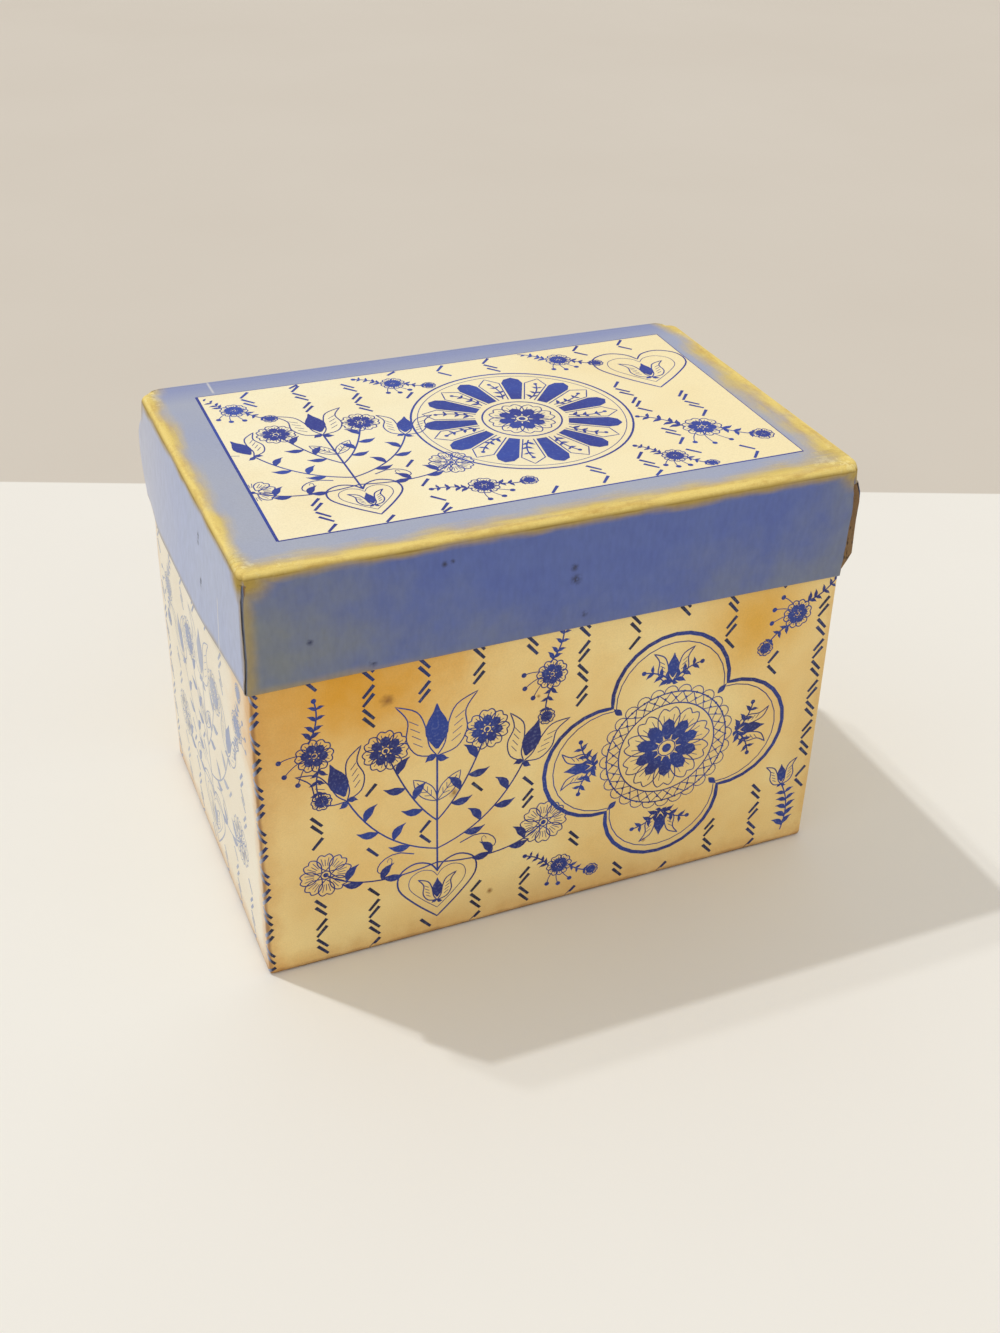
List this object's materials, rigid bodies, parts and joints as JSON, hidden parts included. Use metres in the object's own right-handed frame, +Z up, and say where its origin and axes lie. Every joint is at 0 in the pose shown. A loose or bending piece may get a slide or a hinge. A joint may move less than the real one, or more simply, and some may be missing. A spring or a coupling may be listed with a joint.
{
  "type": "recipe card box",
  "caption": "Paper-covered chipboard box for recipe cards, a deep printed tray with a shallow hinged lid whose skirts hang over its front and ends.",
  "frame": {"origin": "on the table under the middle of the closed box", "axes": "+Z up, +X to the right along the long front face, which looks along -Y; the lid hinges along the +Y edge"},
  "size_m": [0.1432, 0.0912, 0.104],
  "materials": {
    "chipboard": "matt raw chipboard",
    "stay_paper": "matt kraft paper",
    "printed_paper": "aged cream coated paper printed in blue line work",
    "blue_paper": "aged blue coated paper, rubbed yellow along the edges"
  },
  "bodies": {
    "tray": {"base_board": "chipboard", "base_corner_stays": "stay_paper", "base_wrap": "printed_paper", "bottom_paper": "printed_paper", "hinge_strip_tray": "stay_paper", "back_flap": "blue_paper"},
    "lid": {"lid_board": "chipboard", "lid_corner_stays": "stay_paper", "lid_wrap": "blue_paper", "hinge_strip_lid": "stay_paper"}
  },
  "joints": [
    {"name": "lid_hinge", "type": "hinge", "parent": "tray", "child": "lid", "pos_m": [0, 0.04575, 0.1027], "axis": [-1, 0, 0], "range_deg": [0, 180]}
  ]
}
